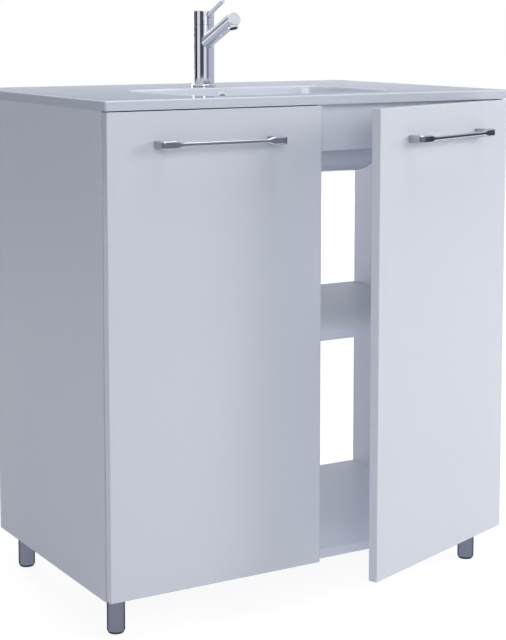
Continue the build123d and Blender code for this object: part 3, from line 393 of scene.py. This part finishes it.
def finish(name):
    """The finish of that name, made once."""
    if name in FINISHES:
        return FINISHES[name]
    metals = bpy.context.scene.sink_metals
    makers = {
        # Decorative chrome over polished brass: mirror bright, faint wipe marks.
        "chrome": (plated_metal, "Polished Chrome Plate", dict(
            colour=metals.chrome, roughness=0.035, smear=0.04, mark_size=5 * MM, mark_depth=0.01 * MM)),
        # Die-cast handle, polished and satin chromed: its reflections are a little soft.
        "handle": (plated_metal, "Satin Chrome Plate", dict(
            colour=metals.satin, roughness=0.075, smear=0.05, mark_size=2 * MM, mark_depth=0.01 * MM)),
        # Drawn steel tube, satin nickel: fine marks run along it, and a dark edge tint darkens it towards its
        # outline, which is painted shade.
        "leg": (brushed_metal, "Satin Nickel Tube", dict(
            colour=metals.leg, roughness=0.2, stretch=(1.0, 1.0, 0.02), line_size=0.9 * MM, edge_shade="#2E2F3A")),
        # Pressed hinge steel, bright nickel: slightly wavy from the press.
        "nickel": (plated_metal, "Bright Nickel Pressing", dict(
            colour=linear("#C4C5C6"), roughness=0.16, smear=0.12, mark_size=1.2 * MM, mark_depth=0.03 * MM)),
        # Zinc plate, blue passivated: duller, tumbled in a barrel.
        "zinc": (plated_metal, "Zinc Plate", dict(
            colour=linear("#AEB3BA"), roughness=0.3, smear=0.15, mark_size=0.8 * MM, mark_depth=0.04 * MM)),
        # Turned brass, unplated, under the sink: fine lines run round it.
        "brass": (brushed_metal, "Turned Brass", dict(
            colour=linear("#C9A45C"), roughness=0.3, stretch=(0.15, 0.15, 1.0), line_size=0.5 * MM)),
        # Glass-filled nylon, black, with a matt mould texture.
        "black_nylon": (moulded_plastic, "Black Moulded Nylon", dict(
            colour=linear("#2A2C31"), roughness=0.5)),
        # ABS in warm grey, for the tap's cartridge.
        "grey_abs": (moulded_plastic, "Grey Moulded ABS", dict(
            colour=linear("#8C8F96"), roughness=0.42)),
        # EPDM rubber: soft black, dusty.
        "rubber": (moulded_plastic, "Black Rubber", dict(
            colour=linear("#1C1C1F"), roughness=0.78, grain=1.1 * MM, depth=0.05 * MM)),
        # Silicone rubber, milky white, under the tap.
        "silicone": (moulded_plastic, "White Silicone Rubber", dict(
            colour=linear("#C9CCD4"), roughness=0.5)),
        # Clear cast polyurethane: smooth, so light passes half through it.
        "clear_dot": (moulded_plastic, "Clear Polyurethane", dict(
            colour=linear("#E3E6EA"), roughness=0.2, grain=2 * MM, depth=0.01 * MM, clear=0.55)),
        # Beech dowels: pale, matt and short-pored.
        "beech": (planed_wood, "Planed Beech", dict(
            pore=linear("#B98E62"), wood=linear("#DDBB92"))),
        # Glazed fireclay, for the one-piece sink top: white and glassy.
        "glaze": (glazed_ceramic, "White Glazed Ceramic", {}),
    }
    maker, title, facts = makers[name]
    FINISHES[name] = maker(title, **facts)
    return FINISHES[name]


def dress(node, material):
    """Gives a CAD node its material."""
    for slot in NODES[node].material_slots:
        slot.material = material


# --- Mesh building ---

# Points of a CAD node's loose triangles that lie this near are the same point, and a new piece is welded
# over twice that.
SAME_POINT = 0.001 * MM
WELD = 2 * SAME_POINT
# Points within this much of a pin's end belong to its end face.
END_DEPTH = 0.02 * MM
# Points at least this share of the widest from its axis belong to a head's rim.
HEAD_RIM = 0.95
# Half the width of a cross recess's arm, as a share of its length.
CROSS_ARM = 0.27
# A cross needs one step in each 15 degrees.
SCREW_STEPS = 24
# Each screw stops at its own angle: this many radians on from the one before.
SCREW_TURN = 0.7
DOT_STEPS = 48
THREAD_STEPS = 48
# A thread's ridge: how deep its foot stands in the shank, as a share of its height, and how much of the
# pitch it takes. A flat lies between its turns.
RIDGE_FOOT = 0.2
RIDGE_SHARE = 0.92
# Ends of the threads: how far below its nut each stops, the plain end of the tap's shank, and how far
# below the nut the thread of the waste's tail reaches.
NUT_ROOM = 0.3 * MM
PLAIN_END = 1.0 * MM
TAIL_THREAD = 8.4 * MM


def piece_from(bm, name, body, material, replaced=(), smooth_angle=32.0):
    """Closes a bmesh into a piece that rides on a body, stands for CAD nodes and has its material."""
    bmesh.ops.remove_doubles(bm, verts=bm.verts, dist=WELD)
    bmesh.ops.recalc_face_normals(bm, faces=bm.faces)
    for face in bm.faces:
        face.smooth = True
    for edge in bm.edges:
        if len(edge.link_faces) == 2 and edge.calc_face_angle(0.0) > math.radians(smooth_angle):
            edge.smooth = False
    mesh = bpy.data.meshes.new(name)
    bm.to_mesh(mesh)
    bm.free()
    piece = bpy.data.objects.new(name, mesh)
    bpy.context.scene.collection.objects.link(piece)
    mesh.materials.append(material)
    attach(piece, body)
    if replaced:
        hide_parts(*replaced)


def cross_reach(angle):
    """How far a cross reaches at an angle, as a share of its arms' length."""
    part = angle % (math.pi / 2)
    part = min(part, math.pi / 2 - part)
    along = 1 / math.cos(part)
    return min(along, CROSS_ARM / math.sin(part)) if part else along


def turned(bm, rings, place, steps):
    """Draws a closed form through rings on the local Z axis, then places it. Each ring is its shape,
    round or cross, its radius and its height."""
    made = list(bmesh.ops.create_circle(bm, segments=steps, radius=1.0)["verts"])
    verts = made
    edges = list(dict.fromkeys(edge for vert in verts for edge in vert.link_edges))
    bmesh.ops.edgeloop_fill(bm, edges=edges)
    for number, (shape, radius, height) in enumerate(rings):
        if number:
            grown = bmesh.ops.extrude_edge_only(bm, edges=edges)["geom"]
            verts = [item for item in grown if isinstance(item, bmesh.types.BMVert)]
            ring = set(verts)
            edges = [item for item in grown
                     if isinstance(item, bmesh.types.BMEdge) and ring.issuperset(item.verts)]
            made += verts
        for vert in verts:
            angle = math.atan2(vert.co.y, vert.co.x)
            reach = radius * (cross_reach(angle) if shape == "cross" else 1.0)
            vert.co = (reach * math.cos(angle), reach * math.sin(angle), height)
    bmesh.ops.edgeloop_fill(bm, edges=edges)
    bmesh.ops.transform(bm, matrix=place, verts=made)


def facing(origin, outward, turn=0.0):
    """The place of a form whose local Z axis points outward from an origin."""
    aim = Vector(outward).to_track_quat("Z", "Y").to_matrix().to_4x4()
    return Matrix.Translation(origin) @ aim @ Matrix.Rotation(turn, 4, "Z")


def solids(node):
    """The separate solids of a CAD node, each as the points of its surface, in the order of where they
    lie, so that each run is alike."""
    bm = bmesh.new()
    bm.from_mesh(NODES[node].data)
    bmesh.ops.remove_doubles(bm, verts=bm.verts, dist=SAME_POINT)
    seen = set()
    found = []
    for first in bm.verts:
        if first in seen:
            continue
        seen.add(first)
        queue = [first]
        points = []
        while queue:
            vert = queue.pop()
            points.append(vert.co.copy())
            for edge in vert.link_edges:
                other = edge.other_vert(vert)
                if other not in seen:
                    seen.add(other)
                    queue.append(other)
        found.append(points)
    bm.free()
    return sorted(found, key=lambda points: [round(sum(axis) / len(points), 4) for axis in zip(*points)])


def round_sizes(points, outward):
    """Where a headed pin's head is, and its sizes, read from its surface points along its axis: the
    head's middle, radius and thickness, the shank's radius and the whole length."""
    heights = [point.dot(outward) for point in points]
    top = max(heights)
    bottom = min(heights)
    end = [point for point, height in zip(points, heights) if top - height < END_DEPTH]
    centre = sum(end, Vector()) / len(end)
    spread = [(point - centre - outward * (point - centre).dot(outward)).length for point in points]
    head = max(spread)
    under = min(height for height, away in zip(heights, spread) if away > HEAD_RIM * head)
    shank = max(away for height, away in zip(heights, spread) if height - bottom < END_DEPTH)
    return centre, head, top - under, shank, top - bottom


def middle(node):
    """The middle of a CAD node's box."""
    low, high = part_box(node)
    return Vector([(a + b) / 2 for a, b in zip(low, high)])


def back_of(side):
    """The way a door's back faces, as it is stored."""
    return Vector((-math.sin(DOOR_TURNS[side]), math.cos(DOOR_TURNS[side]), 0.0))


def cross_screws(node, body, outward_of):
    """Pan-head screws with a cross recess, each turned a little differently, in place of plain ones."""
    metals = bpy.context.scene.sink_metals
    bm = bmesh.new()
    for number, points in enumerate(solids(node)):
        outward = Vector(outward_of(points))
        centre, head, thick, shank, length = round_sizes(points, outward)
        deep = min(metals.recess_depth, 0.75 * thick)
        # The blunt tip and the shank, the head's flat underside and domed edge, then the recess.
        rings = [
            ("round", 0.15 * shank, -length), ("round", shank, 2 * shank - length), ("round", shank, -thick),
            ("round", head, -thick), ("round", head, -0.5 * thick), ("round", 0.93 * head, -0.2 * thick),
            ("round", 0.8 * head, -0.03 * thick), ("round", 0.68 * head, 0.0), ("cross", 0.58 * head, 0.0),
            ("cross", 0.44 * head, -deep), ("cross", 0.12 * head, -1.15 * deep),
        ]
        turned(bm, rings, facing(centre, outward, number * SCREW_TURN), SCREW_STEPS)
    piece_from(bm, node.title(), body, finish("zinc"), (node,))


def shank_thread(name, shank, nut, depth, pitch, low):
    """Winds a ridge of V section up a brass shank, from a height to just below the nut on it. The ridge
    is closed at both ends."""
    radius = (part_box(shank)[1][0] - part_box(shank)[0][0]) / 2
    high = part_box(nut)[0][2] - NUT_ROOM
    bm = bmesh.new()
    corners = [
        bm.verts.new((radius - depth * RIDGE_FOOT, 0.0, low)),
        bm.verts.new((radius + depth, 0.0, low + pitch / 2)),
        bm.verts.new((radius - depth * RIDGE_FOOT, 0.0, low + pitch * RIDGE_SHARE)),
    ]
    start = bm.faces.new(corners)
    turns = (high - low) / pitch - 1
    count = round(turns * THREAD_STEPS)
    bmesh.ops.spin(
        bm, geom=[start], cent=(0, 0, 0), axis=(0, 0, 1), dvec=(0, 0, (high - low - pitch) / count),
        angle=turns * math.tau, steps=count, use_merge=False, use_duplicate=False)
    upright = Matrix.Translation(middle(shank) * Vector((1, 1, 0)))
    bmesh.ops.transform(bm, matrix=upright, verts=bm.verts)
    piece_from(bm, name, "carcass", finish("brass"), smooth_angle=25.0)


# --- Pieces ---

class SINKCAB_OT_carcass(Operator):
    """Coat the carcass boards and finish their dowels, cams and shelf pins"""
    bl_idname = "sinkcab.carcass"
    bl_label = "Carcass"

    def execute(self, context):
        white = tuple(context.scene.sink_boards.carcass_white)
        for node in ("side_left", "side_right", "floor_panel", "front_rail", "rear_rail", "shelf"):
            title = "White Coated Board " + node.replace("_", " ").title()
            dress(node, coated_board(title, white, CARCASS_ROUGHNESS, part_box(node)))
        dress("carcass_dowels", finish("beech"))
        for node in ("cam_bolts", "cam_locks", "shelf_pins"):
            dress(node, finish("zinc"))
        return {"FINISHED"}


class SINKCAB_OT_legs(Operator):
    """Finish the legs, their plates and glides"""
    bl_idname = "sinkcab.legs"
    bl_label = "Legs"

    def execute(self, context):
        for place in LEG_PLACES:
            dress("leg_tube_" + place, finish("leg"))
        dress("leg_glides", finish("black_nylon"))
        dress("leg_plates", finish("zinc"))
        return {"FINISHED"}


class SINKCAB_OT_doors(Operator):
    """Coat the doors, finish their handles and make their stops"""
    bl_idname = "sinkcab.doors"
    bl_label = "Doors"

    def execute(self, context):
        white = tuple(context.scene.sink_boards.door_white)
        low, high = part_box("door_left")
        size = [b - a for a, b in zip(low, high)]
        for side in SIDES:
            # The pattern of a door that stands ajar is turned with it.
            centre = middle("door_" + side)
            box = ([c - s / 2 for c, s in zip(centre, size)], [c + s / 2 for c, s in zip(centre, size)])
            title = "White Door Board " + side.title()
            board = coated_board(title, white, DOOR_ROUGHNESS, box, DOOR_TURNS[side])
            dress("door_" + side, board)
            dress("handle_" + side, finish("handle"))
            self.bumpers(side)
        return {"FINISHED"}

    def bumpers(self, side):
        """Domed clear dots on the door's back, in place of the plain discs."""
        node = "door_bumpers_" + side
        inward = back_of(side)
        bm = bmesh.new()
        for points in solids(node):
            centre, radius, _, _, tall = round_sizes(points, inward)
            rings = [
                ("round", radius, -tall), ("round", radius, -0.7 * tall),
                ("round", 0.94 * radius, -0.4 * tall), ("round", 0.8 * radius, -0.17 * tall),
                ("round", 0.56 * radius, -0.04 * tall), ("round", 0.2 * radius, 0.0),
            ]
            turned(bm, rings, facing(centre, inward), DOT_STEPS)
        name = "Door_Dots_" + side.title()
        piece_from(bm, name, side + "_door", finish("clear_dot"), (node,), smooth_angle=50.0)


class SINKCAB_OT_hinges(Operator):
    """Finish the concealed hinges"""
    bl_idname = "sinkcab.hinges"
    bl_label = "Hinges"

    def execute(self, context):
        for side in SIDES:
            for part in ("hinge_cups_", "hinge_arms_", "hinge_plates_"):
                dress(part + side, finish("nickel"))
        return {"FINISHED"}


class SINKCAB_OT_fasteners(Operator):
    """Make the cross-recess screws of the hinges, handles and leg plates"""
    bl_idname = "sinkcab.fasteners"
    bl_label = "Fasteners"

    def execute(self, context):
        cross_screws("hinge_plate_screws", "carcass", self.off_side)
        cross_screws("hinge_arm_screws", "carcass", self.off_side)
        cross_screws("leg_screws", "carcass", lambda points: (0.0, 0.0, -1.0))
        for side in SIDES:
            for node in ("cup_screws_" + side, "handle_screws_" + side):
                cross_screws(node, side + "_door", lambda points: back_of(side))
        return {"FINISHED"}

    def off_side(self, points):
        """Away from the side panel that holds the screw."""
        return (-1.0 if points[0].x > 0 else 1.0, 0.0, 0.0)


class SINKCAB_OT_sink_top(Operator):
    """Glaze the sink top"""
    bl_idname = "sinkcab.sink_top"
    bl_label = "Sink Top"

    def execute(self, context):
        dress("sink_top", finish("glaze"))
        return {"FINISHED"}


class SINKCAB_OT_waste(Operator):
    """Finish the overflow and the waste, and thread its tail"""
    bl_idname = "sinkcab.waste"
    bl_label = "Waste"

    def execute(self, context):
        for node in ("overflow_ring", "waste_flange", "waste_plug"):
            dress(node, finish("chrome"))
        dress("waste_body", finish("brass"))
        dress("waste_seal", finish("rubber"))
        dress("waste_nut", finish("black_nylon"))
        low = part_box("waste_nut")[0][2] - TAIL_THREAD
        shank_thread("Waste_Thread", "waste_body", "waste_nut", depth=0.6 * MM, pitch=2.0 * MM, low=low)
        return {"FINISHED"}


class SINKCAB_OT_tap(Operator):
    """Finish the mixer tap and thread its shank"""
    bl_idname = "sinkcab.tap"
    bl_label = "Tap"

    def execute(self, context):
        for node in ("tap_base_ring", "tap_body", "tap_spout", "tap_cap", "tap_lever"):
            dress(node, finish("chrome"))
        dress("tap_cartridge", finish("grey_abs"))
        dress("tap_aerator", finish("black_nylon"))
        dress("tap_lever_pin", finish("zinc"))
        dress("tap_seal", finish("silicone"))
        dress("tap_washer", finish("zinc"))
        for node in ("tap_shank", "tap_nut"):
            dress(node, finish("brass"))
        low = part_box("tap_shank")[0][2] + PLAIN_END
        shank_thread("Tap_Shank_Thread", "tap_shank", "tap_nut", depth=0.55 * MM, pitch=1.6 * MM, low=low)
        return {"FINISHED"}


# --- Stage ---

# The floor: its size in metres, the paint that lights the object from below, and what the eye sees of
# it: its own glow, which rises to white between two distances from its middle, and the light it catches.
FLOOR_RADIUS = 6.5
FLOOR_STEPS = 96
FLOOR_PAINT = "#E4E6EA"
FLOOR_GLOW = (0.89, 1.0)
FLOOR_RISE = (1.2, 5.0)
FLOOR_CATCH = 0.22
# The soft light from all round.
AMBIENT_TINT = "#E2E6F1"
# The room that metal and glaze mirror. First a ring of pale and dark panels: the angle from the X axis, in
# degrees, and the colour there.
PANELS = (
    (-180, "#F4F5F8"), (-160, "#F4F5F8"), (-156, "#4C5261"), (-120, "#4C5261"), (-116, "#F6F7FA"),
    (-91, "#F6F7FA"), (-87, "#8A8D9C"), (-65, "#8A8D9C"), (-60, "#C9C9D8"), (-8, "#CFCFDC"),
    (0, "#D6D9E4"), (58, "#B7BBCA"), (72, "#A9AFBD"), (110, "#8F8F9E"), (144, "#8B8794"),
    (148, "#23242F"), (166, "#23242F"), (170, "#F4F5F8"), (180, "#F4F5F8"),
)
# Then what lies over and under the ring, each with the heights between which it comes in, where a height
# is the Z of the way looked at: a bright strip, a slate wall that fades out again, a white ceiling, and
# past the floor's rim a dark base, darker on the right.
STRIP_RISE = (0.018, 0.026)
STRIP_WHITE = "#F2F4F8"
WALL_RISE = (0.032, 0.046)
WALL_SHARE = 0.9
WALL_FADE = (0.13, 0.2)
WALL_SLATE = "#8F98AC"
CEILING_RISE = (0.5, 0.75)
CEILING_WHITE = "#FFFFFF"
BASE_FALL = (-0.054, -0.06)
BASE_RIGHTWARD = (0.6, 0.85)
BASE_LEFT = "#8B8F9B"
BASE_RIGHT = "#383A46"
# Studio lamps: name, place in metres, diameter in metres, watts, colour, and whether bright metal and
# glaze mirror the lamp. The lamps at the right would draw white stripes down the chrome.
LAMP_AIM = Vector((0.0, 0.0, 0.5))
LAMPS = (
    ("Right Lamp", (4.2, -0.9, 1.6), 1.6, 30.0, "#FFFDF8", False),
    ("Right Front Lamp", (3.3, -2.7, 1.9), 1.6, 54.0, "#FFFDF8", False),
    ("Front Lamp", (-1.9, -4.2, 2.2), 2.4, 54.0, "#F8F9FF", True),
    ("Top Lamp", (0.4, -0.3, 3.6), 2.2, 45.0, "#F8F9FF", True),
    ("Back Lamp", (-0.1, 2.8, 0.7), 0.9, 38.0, "#F8F9FF", True),
)


class SINKCAB_OT_stage(Operator):
    """Build the pale floor, the studio light and the camera"""
    bl_idname = "sinkcab.stage"
    bl_label = "Stage"

    def execute(self, context):
        scene = context.scene
        stage = scene.sink_stage
        self.floor(scene)
        self.world(scene, stage)
        for lamp in LAMPS:
            self.light(scene, *lamp)
        camera = bpy.data.cameras.new("Photo Camera")
        camera.lens = stage.focal_length
        camera.shift_y = stage.view_shift
        camera.dof.use_dof = False
        rig = bpy.data.objects.new("Photo Camera", camera)
        rig.location = stage.camera_place
        rig.rotation_euler = (math.pi / 2 - stage.camera_pitch, 0.0, -stage.camera_yaw)
        scene.collection.objects.link(rig)
        scene.camera = rig
        scene.view_settings.view_transform = "Standard"
        return {"FINISHED"}

    def floor(self, scene):
        """A round white floor that goes over into the white around it and keeps the object's shadow."""
        bm = bmesh.new()
        bmesh.ops.create_circle(bm, cap_ends=True, radius=FLOOR_RADIUS, segments=FLOOR_STEPS)
        mesh = bpy.data.meshes.new("Studio Floor")
        bm.to_mesh(mesh)
        bm.free()
        floor = bpy.data.objects.new("Studio Floor", mesh)
        scene.collection.objects.link(floor)
        material, tree = blank("White Studio Floor")
        path = add(tree, "ShaderNodeLightPath")
        straight = add(tree, "ShaderNodeMath", {
            0: path.outputs["Is Camera Ray"], 1: path.outputs["Is Glossy Ray"],
        }, operation="MAXIMUM")
        seen = add(tree, "ShaderNodeMath", {
            0: straight.outputs[0], 1: path.outputs["Is Transmission Ray"],
        }, operation="MAXIMUM")
        paint = add(tree, "ShaderNodeBsdfDiffuse", {"Color": rgba(linear(FLOOR_PAINT))})
        place = add(tree, "ShaderNodeTexCoord")
        away = add(tree, "ShaderNodeVectorMath", {0: place.outputs["Object"]}, operation="LENGTH")
        level = add(tree, "ShaderNodeMapRange", {
            "Value": away.outputs["Value"], **span(FLOOR_RISE, FLOOR_GLOW),
        })
        glow = add(tree, "ShaderNodeEmission", {"Strength": level.outputs[0]})
        caught = add(tree, "ShaderNodeBsdfDiffuse", {"Color": rgba([FLOOR_CATCH] * 3)})
        both = add(tree, "ShaderNodeAddShader", {0: glow.outputs[0], 1: caught.outputs[0]})
        mix = add(tree, "ShaderNodeMixShader", {0: seen.outputs[0], 1: paint.outputs[0], 2: both.outputs[0]})
        add(tree, "ShaderNodeOutputMaterial", {"Surface": mix.outputs[0]})
        mesh.materials.append(material)

    def world(self, scene, stage):
        """White to the eye, a soft cool ambient, and for bright metal and glaze a studio room."""
        world = bpy.data.worlds.new("Studio")
        scene.world = world
        world.use_nodes = True
        tree = world.node_tree
        tree.nodes.clear()
        path = add(tree, "ShaderNodeLightPath")
        ambient = add(tree, "ShaderNodeBackground", {
            "Color": rgba(linear(AMBIENT_TINT)), "Strength": stage.ambient,
        })
        shiny = add(tree, "ShaderNodeBackground", {"Color": self.room(tree), "Strength": 1.0})
        white = add(tree, "ShaderNodeBackground", {"Color": (1, 1, 1, 1), "Strength": 1.0})
        lighting = add(tree, "ShaderNodeMixShader", {
            0: path.outputs["Is Glossy Ray"], 1: ambient.outputs[0], 2: shiny.outputs[0],
        })
        seen = add(tree, "ShaderNodeMath", {
            0: path.outputs["Is Camera Ray"], 1: path.outputs["Is Transmission Ray"],
        }, operation="MAXIMUM")
        whole = add(tree, "ShaderNodeMixShader", {
            0: seen.outputs[0], 1: lighting.outputs[0], 2: white.outputs[0],
        })
        add(tree, "ShaderNodeOutputWorld", {"Surface": whole.outputs[0]})

    def room(self, tree):
        """The colours of the room round about, as one socket."""
        place = add(tree, "ShaderNodeTexCoord")
        way = add(tree, "ShaderNodeSeparateXYZ", {0: place.outputs["Generated"]})
        rightward, forward, height = way.outputs
        around = add(tree, "ShaderNodeMath", {0: forward, 1: rightward}, operation="ARCTAN2")
        turn = add(tree, "ShaderNodeMapRange", {"Value": around.outputs[0], **span((-math.pi, math.pi))})
        ring = add(tree, "ShaderNodeValToRGB", {0: turn.outputs[0]})
        stops = ring.color_ramp.elements
        while len(stops) < len(PANELS):
            stops.new(0.5)
        for stop, (degrees, code) in zip(stops, PANELS):
            stop.position = (degrees + 180) / 360
        for stop, (degrees, code) in zip(stops, PANELS):
            stop.color = rgba(linear(code))
        strip = add(tree, "ShaderNodeMapRange", {"Value": height, **span(STRIP_RISE)})
        rise = add(tree, "ShaderNodeMapRange", {"Value": height, **span(WALL_RISE, (0.0, WALL_SHARE))})
        wall = add(tree, "ShaderNodeMapRange", {"Value": height, **span(WALL_FADE, (rise.outputs[0], 0.0))})
        ceiling = add(tree, "ShaderNodeMapRange", {"Value": height, **span(CEILING_RISE)})
        base = add(tree, "ShaderNodeMapRange", {"Value": height, **span(BASE_FALL)})
        right = add(tree, "ShaderNodeMapRange", {"Value": rightward, **span(BASE_RIGHTWARD)})
        dark = add(tree, "ShaderNodeMix", {
            "Factor": right.outputs[0],
            MIX_FIRST: rgba(linear(BASE_LEFT)), MIX_SECOND: rgba(linear(BASE_RIGHT)),
        }, data_type="RGBA")
        layers = (
            (strip, rgba(linear(STRIP_WHITE))), (wall, rgba(linear(WALL_SLATE))),
            (ceiling, rgba(linear(CEILING_WHITE))), (base, dark.outputs[MIX_RESULT]),
        )
        seen = ring.outputs[0]
        for share, colour in layers:
            mix = add(tree, "ShaderNodeMix", {
                "Factor": share.outputs[0], MIX_FIRST: seen, MIX_SECOND: colour,
            }, data_type="RGBA")
            seen = mix.outputs[MIX_RESULT]
        return seen

    def light(self, scene, name, place, size, power, code, mirrored):
        """A round soft lamp, aimed at the middle of the cabinet."""
        lamp = bpy.data.lights.new(name, "AREA")
        lamp.shape = "DISK"
        lamp.size = size
        lamp.energy = power
        lamp.color = linear(code)
        holder = bpy.data.objects.new(name, lamp)
        holder.location = place
        way = LAMP_AIM - Vector(place)
        holder.rotation_euler = way.to_track_quat("-Z", "Y").to_euler()
        holder.visible_glossy = mirrored
        scene.collection.objects.link(holder)


class SINKCAB_PT_panel(Panel):
    """Sizes, colours and pieces of the sink base cabinet"""
    bl_idname = "SINKCAB_PT_panel"
    bl_label = "Sink Base Cabinet"
    bl_space_type = "VIEW_3D"
    bl_region_type = "UI"
    bl_category = "Sink Cabinet"

    def draw(self, context):
        scene = context.scene
        for title, group in (
            ("Boards", scene.sink_boards), ("Metals", scene.sink_metals),
            ("Sink Top", scene.sink_top_look), ("Stage", scene.sink_stage),
        ):
            box = self.layout.box()
            box.label(text=title)
            for key in group.bl_rna.properties.keys():
                if key not in ("rna_type", "name"):
                    box.prop(group, key)
        for piece in PIECES:
            self.layout.operator(piece.bl_idname)


GROUPS = {
    "sink_boards": SINKCAB_PG_boards,
    "sink_metals": SINKCAB_PG_metals,
    "sink_top_look": SINKCAB_PG_top,
    "sink_stage": SINKCAB_PG_stage,
}
PIECES = (
    SINKCAB_OT_carcass, SINKCAB_OT_legs, SINKCAB_OT_doors, SINKCAB_OT_hinges, SINKCAB_OT_fasteners,
    SINKCAB_OT_sink_top, SINKCAB_OT_waste, SINKCAB_OT_tap, SINKCAB_OT_stage,
)


def register():
    for name, group in GROUPS.items():
        bpy.utils.register_class(group)
        setattr(bpy.types.Scene, name, PointerProperty(type=group))
    for piece in PIECES:
        bpy.utils.register_class(piece)
    bpy.utils.register_class(SINKCAB_PT_panel)


def unregister():
    bpy.utils.unregister_class(SINKCAB_PT_panel)
    for piece in reversed(PIECES):
        bpy.utils.unregister_class(piece)
    for name, group in GROUPS.items():
        delattr(bpy.types.Scene, name)
        bpy.utils.unregister_class(group)


def main():
    register()
    bpy.ops.sinkcab.carcass()
    bpy.ops.sinkcab.legs()
    bpy.ops.sinkcab.doors()
    bpy.ops.sinkcab.hinges()
    bpy.ops.sinkcab.fasteners()
    bpy.ops.sinkcab.sink_top()
    bpy.ops.sinkcab.waste()
    bpy.ops.sinkcab.tap()
    bpy.ops.sinkcab.stage()


if __name__ == "__main__":
    main()
